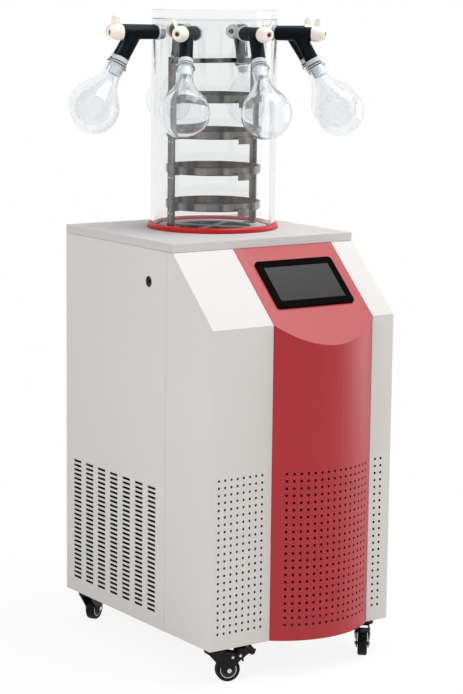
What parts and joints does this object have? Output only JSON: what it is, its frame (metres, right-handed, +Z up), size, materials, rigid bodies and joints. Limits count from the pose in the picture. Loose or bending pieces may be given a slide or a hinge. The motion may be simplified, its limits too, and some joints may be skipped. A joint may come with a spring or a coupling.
{
  "type": "laboratory freeze dryer",
  "caption": "Upright laboratory freeze dryer on casters: clear drying chamber with a tray rack and flask valves over a cold trap, red bowed front panel.",
  "frame": {"origin": "middle of the base of the bounding box, on the floor under the casters", "axes": "+Z up, -Y towards the front with the touch screen, +X to the right of a person facing the front"},
  "size_m": [0.643, 0.7382, 1.3403],
  "materials": {
    "white_paint": "satin powder coat",
    "red_paint": "satin powder coat",
    "stainless_steel": "brushed",
    "zinc_steel": "zinc plated sheet",
    "copper_tube": "drawn copper tube",
    "aluminium_fins": "bare fins",
    "black_painted_steel": "satin black",
    "black_plastic": "moulded",
    "screen_glass": "glossy touch glass",
    "red_silicone": "moulded silicone",
    "clear_acrylic": "polished clear acrylic",
    "clear_glass": "clear laboratory glass",
    "black_rubber": "matt",
    "cream_plastic": "moulded, satin",
    "wheel_rubber": "hard black rubber"
  },
  "bodies": {
    "cabinet": {"base_frame": "zinc_steel", "chamber_lid": "clear_acrylic", "cold_trap": "stainless_steel", "compressor": "black_painted_steel", "condenser": "aluminium_fins", "control_module": "zinc_steel", "drying_chamber": "clear_acrylic", "evaporator_coil": "copper_tube", "flask_1": "clear_glass", "flask_2": "clear_glass", "flask_3": "clear_glass", "flask_4": "clear_glass", "flask_5": "clear_glass", "flask_6": "clear_glass", "flask_7": "clear_glass", "flask_8": "clear_glass", "front_cover": "white_paint", "mains_inlet": "black_plastic", "rear_panel": "white_paint", "red_front_panel": "red_paint", "seal_ring": "red_silicone", "side_panel_left": "white_paint", "side_panel_right": "white_paint", "top_plate": "stainless_steel", "touch_screen": "screen_glass", "trap_baffle": "stainless_steel", "tray_1": "stainless_steel", "tray_2": "stainless_steel", "tray_3": "stainless_steel", "tray_4": "stainless_steel", "tray_rack": "stainless_steel", "vacuum_port": "stainless_steel", "valve_body_1": "black_rubber", "valve_body_2": "black_rubber", "valve_body_3": "black_rubber", "valve_body_4": "black_rubber", "valve_body_5": "black_rubber", "valve_body_6": "black_rubber", "valve_body_7": "black_rubber", "valve_body_8": "black_rubber"},
    "swivel_front_left": {"caster_fork_front_left": "black_painted_steel"},
    "wheel_front_left": {"caster_wheel_front_left": "wheel_rubber"},
    "brake_front_left": {"caster_brake_front_left": "black_plastic"},
    "swivel_front_right": {"caster_fork_front_right": "black_painted_steel"},
    "wheel_front_right": {"caster_wheel_front_right": "wheel_rubber"},
    "brake_front_right": {"caster_brake_front_right": "black_plastic"},
    "swivel_rear_left": {"caster_fork_rear_left": "black_painted_steel"},
    "wheel_rear_left": {"caster_wheel_rear_left": "wheel_rubber"},
    "swivel_rear_right": {"caster_fork_rear_right": "black_painted_steel"},
    "wheel_rear_right": {"caster_wheel_rear_right": "wheel_rubber"},
    "knob_1": {"valve_knob_1": "cream_plastic"},
    "knob_2": {"valve_knob_2": "cream_plastic"},
    "knob_3": {"valve_knob_3": "cream_plastic"},
    "knob_4": {"valve_knob_4": "cream_plastic"},
    "knob_5": {"valve_knob_5": "cream_plastic"},
    "knob_6": {"valve_knob_6": "cream_plastic"},
    "knob_7": {"valve_knob_7": "cream_plastic"},
    "knob_8": {"valve_knob_8": "cream_plastic"},
    "fan": {"condenser_fan": "black_plastic"},
    "rocker": {"rocker_switch": "black_plastic"}
  },
  "joints": [
    {"name": "swivel_front_left", "type": "hinge", "parent": "cabinet", "child": "swivel_front_left", "pos_m": [-0.21166, -0.28809, 0.072], "axis": [0, 0, 1], "continuous": true},
    {"name": "roll_front_left", "type": "hinge", "parent": "swivel_front_left", "child": "wheel_front_left", "pos_m": [-0.18598, -0.29644, 0.025], "axis": [0.309, 0.9511, 0], "continuous": true},
    {"name": "brake_press_front_left", "type": "hinge", "parent": "swivel_front_left", "child": "brake_front_left", "pos_m": [-0.16411, -0.30354, 0.055], "axis": [0.309, 0.9511, 0], "range_deg": [0, 15]},
    {"name": "swivel_front_right", "type": "hinge", "parent": "cabinet", "child": "swivel_front_right", "pos_m": [0.16834, -0.28809, 0.072], "axis": [0, 0, 1], "continuous": true},
    {"name": "roll_front_right", "type": "hinge", "parent": "swivel_front_right", "child": "wheel_front_right", "pos_m": [0.15135, -0.30908, 0.025], "axis": [0.7771, -0.6293, 0], "continuous": true},
    {"name": "brake_press_front_right", "type": "hinge", "parent": "swivel_front_right", "child": "brake_front_right", "pos_m": [0.13687, -0.32695, 0.055], "axis": [0.7771, -0.6293, 0], "range_deg": [0, 15]},
    {"name": "swivel_rear_left", "type": "hinge", "parent": "cabinet", "child": "swivel_rear_left", "pos_m": [-0.21166, 0.20691, 0.072], "axis": [0, 0, 1], "continuous": true},
    {"name": "roll_rear_left", "type": "hinge", "parent": "swivel_rear_left", "child": "wheel_rear_left", "pos_m": [-0.18876, 0.22121, 0.025], "axis": [-0.5299, 0.848, 0], "continuous": true},
    {"name": "swivel_rear_right", "type": "hinge", "parent": "cabinet", "child": "swivel_rear_right", "pos_m": [0.16834, 0.20691, 0.072], "axis": [0, 0, 1], "continuous": true},
    {"name": "roll_rear_right", "type": "hinge", "parent": "swivel_rear_right", "child": "wheel_rear_right", "pos_m": [0.18184, 0.18352, 0.025], "axis": [0.866, 0.5, 0], "continuous": true},
    {"name": "knob_turn_1", "type": "hinge", "parent": "cabinet", "child": "knob_1", "pos_m": [-0.21593, 0.07648, 1.293], "axis": [-0.9921, 0.1253, 0], "continuous": true},
    {"name": "knob_turn_2", "type": "hinge", "parent": "cabinet", "child": "knob_2", "pos_m": [-0.17149, -0.08593, 1.293], "axis": [-0.7902, -0.6129, 0], "continuous": true},
    {"name": "knob_turn_3", "type": "hinge", "parent": "cabinet", "child": "knob_3", "pos_m": [-0.02523, -0.16936, 1.293], "axis": [-0.1253, -0.9921, 0], "continuous": true},
    {"name": "knob_turn_4", "type": "hinge", "parent": "cabinet", "child": "knob_4", "pos_m": [0.13718, -0.12493, 1.293], "axis": [0.6129, -0.7902, 0], "continuous": true},
    {"name": "knob_turn_5", "type": "hinge", "parent": "cabinet", "child": "knob_5", "pos_m": [0.2206, 0.02133, 1.293], "axis": [0.9921, -0.1253, 0], "continuous": true},
    {"name": "knob_turn_6", "type": "hinge", "parent": "cabinet", "child": "knob_6", "pos_m": [0.17617, 0.18375, 1.293], "axis": [0.7902, 0.6129, 0], "continuous": true},
    {"name": "knob_turn_7", "type": "hinge", "parent": "cabinet", "child": "knob_7", "pos_m": [0.02991, 0.26717, 1.293], "axis": [0.1253, 0.9921, 0], "continuous": true},
    {"name": "knob_turn_8", "type": "hinge", "parent": "cabinet", "child": "knob_8", "pos_m": [-0.1325, 0.22274, 1.293], "axis": [-0.6129, 0.7902, 0], "continuous": true},
    {"name": "fan_spin", "type": "hinge", "parent": "cabinet", "child": "fan", "pos_m": [0.03834, 0.21491, 0.211], "axis": [0, 1, 0], "continuous": true},
    {"name": "rocker_tip", "type": "hinge", "parent": "cabinet", "child": "rocker", "pos_m": [-0.15566, 0.23991, 0.186], "axis": [-1, 0, 0], "range_deg": [0, 20]}
  ]
}
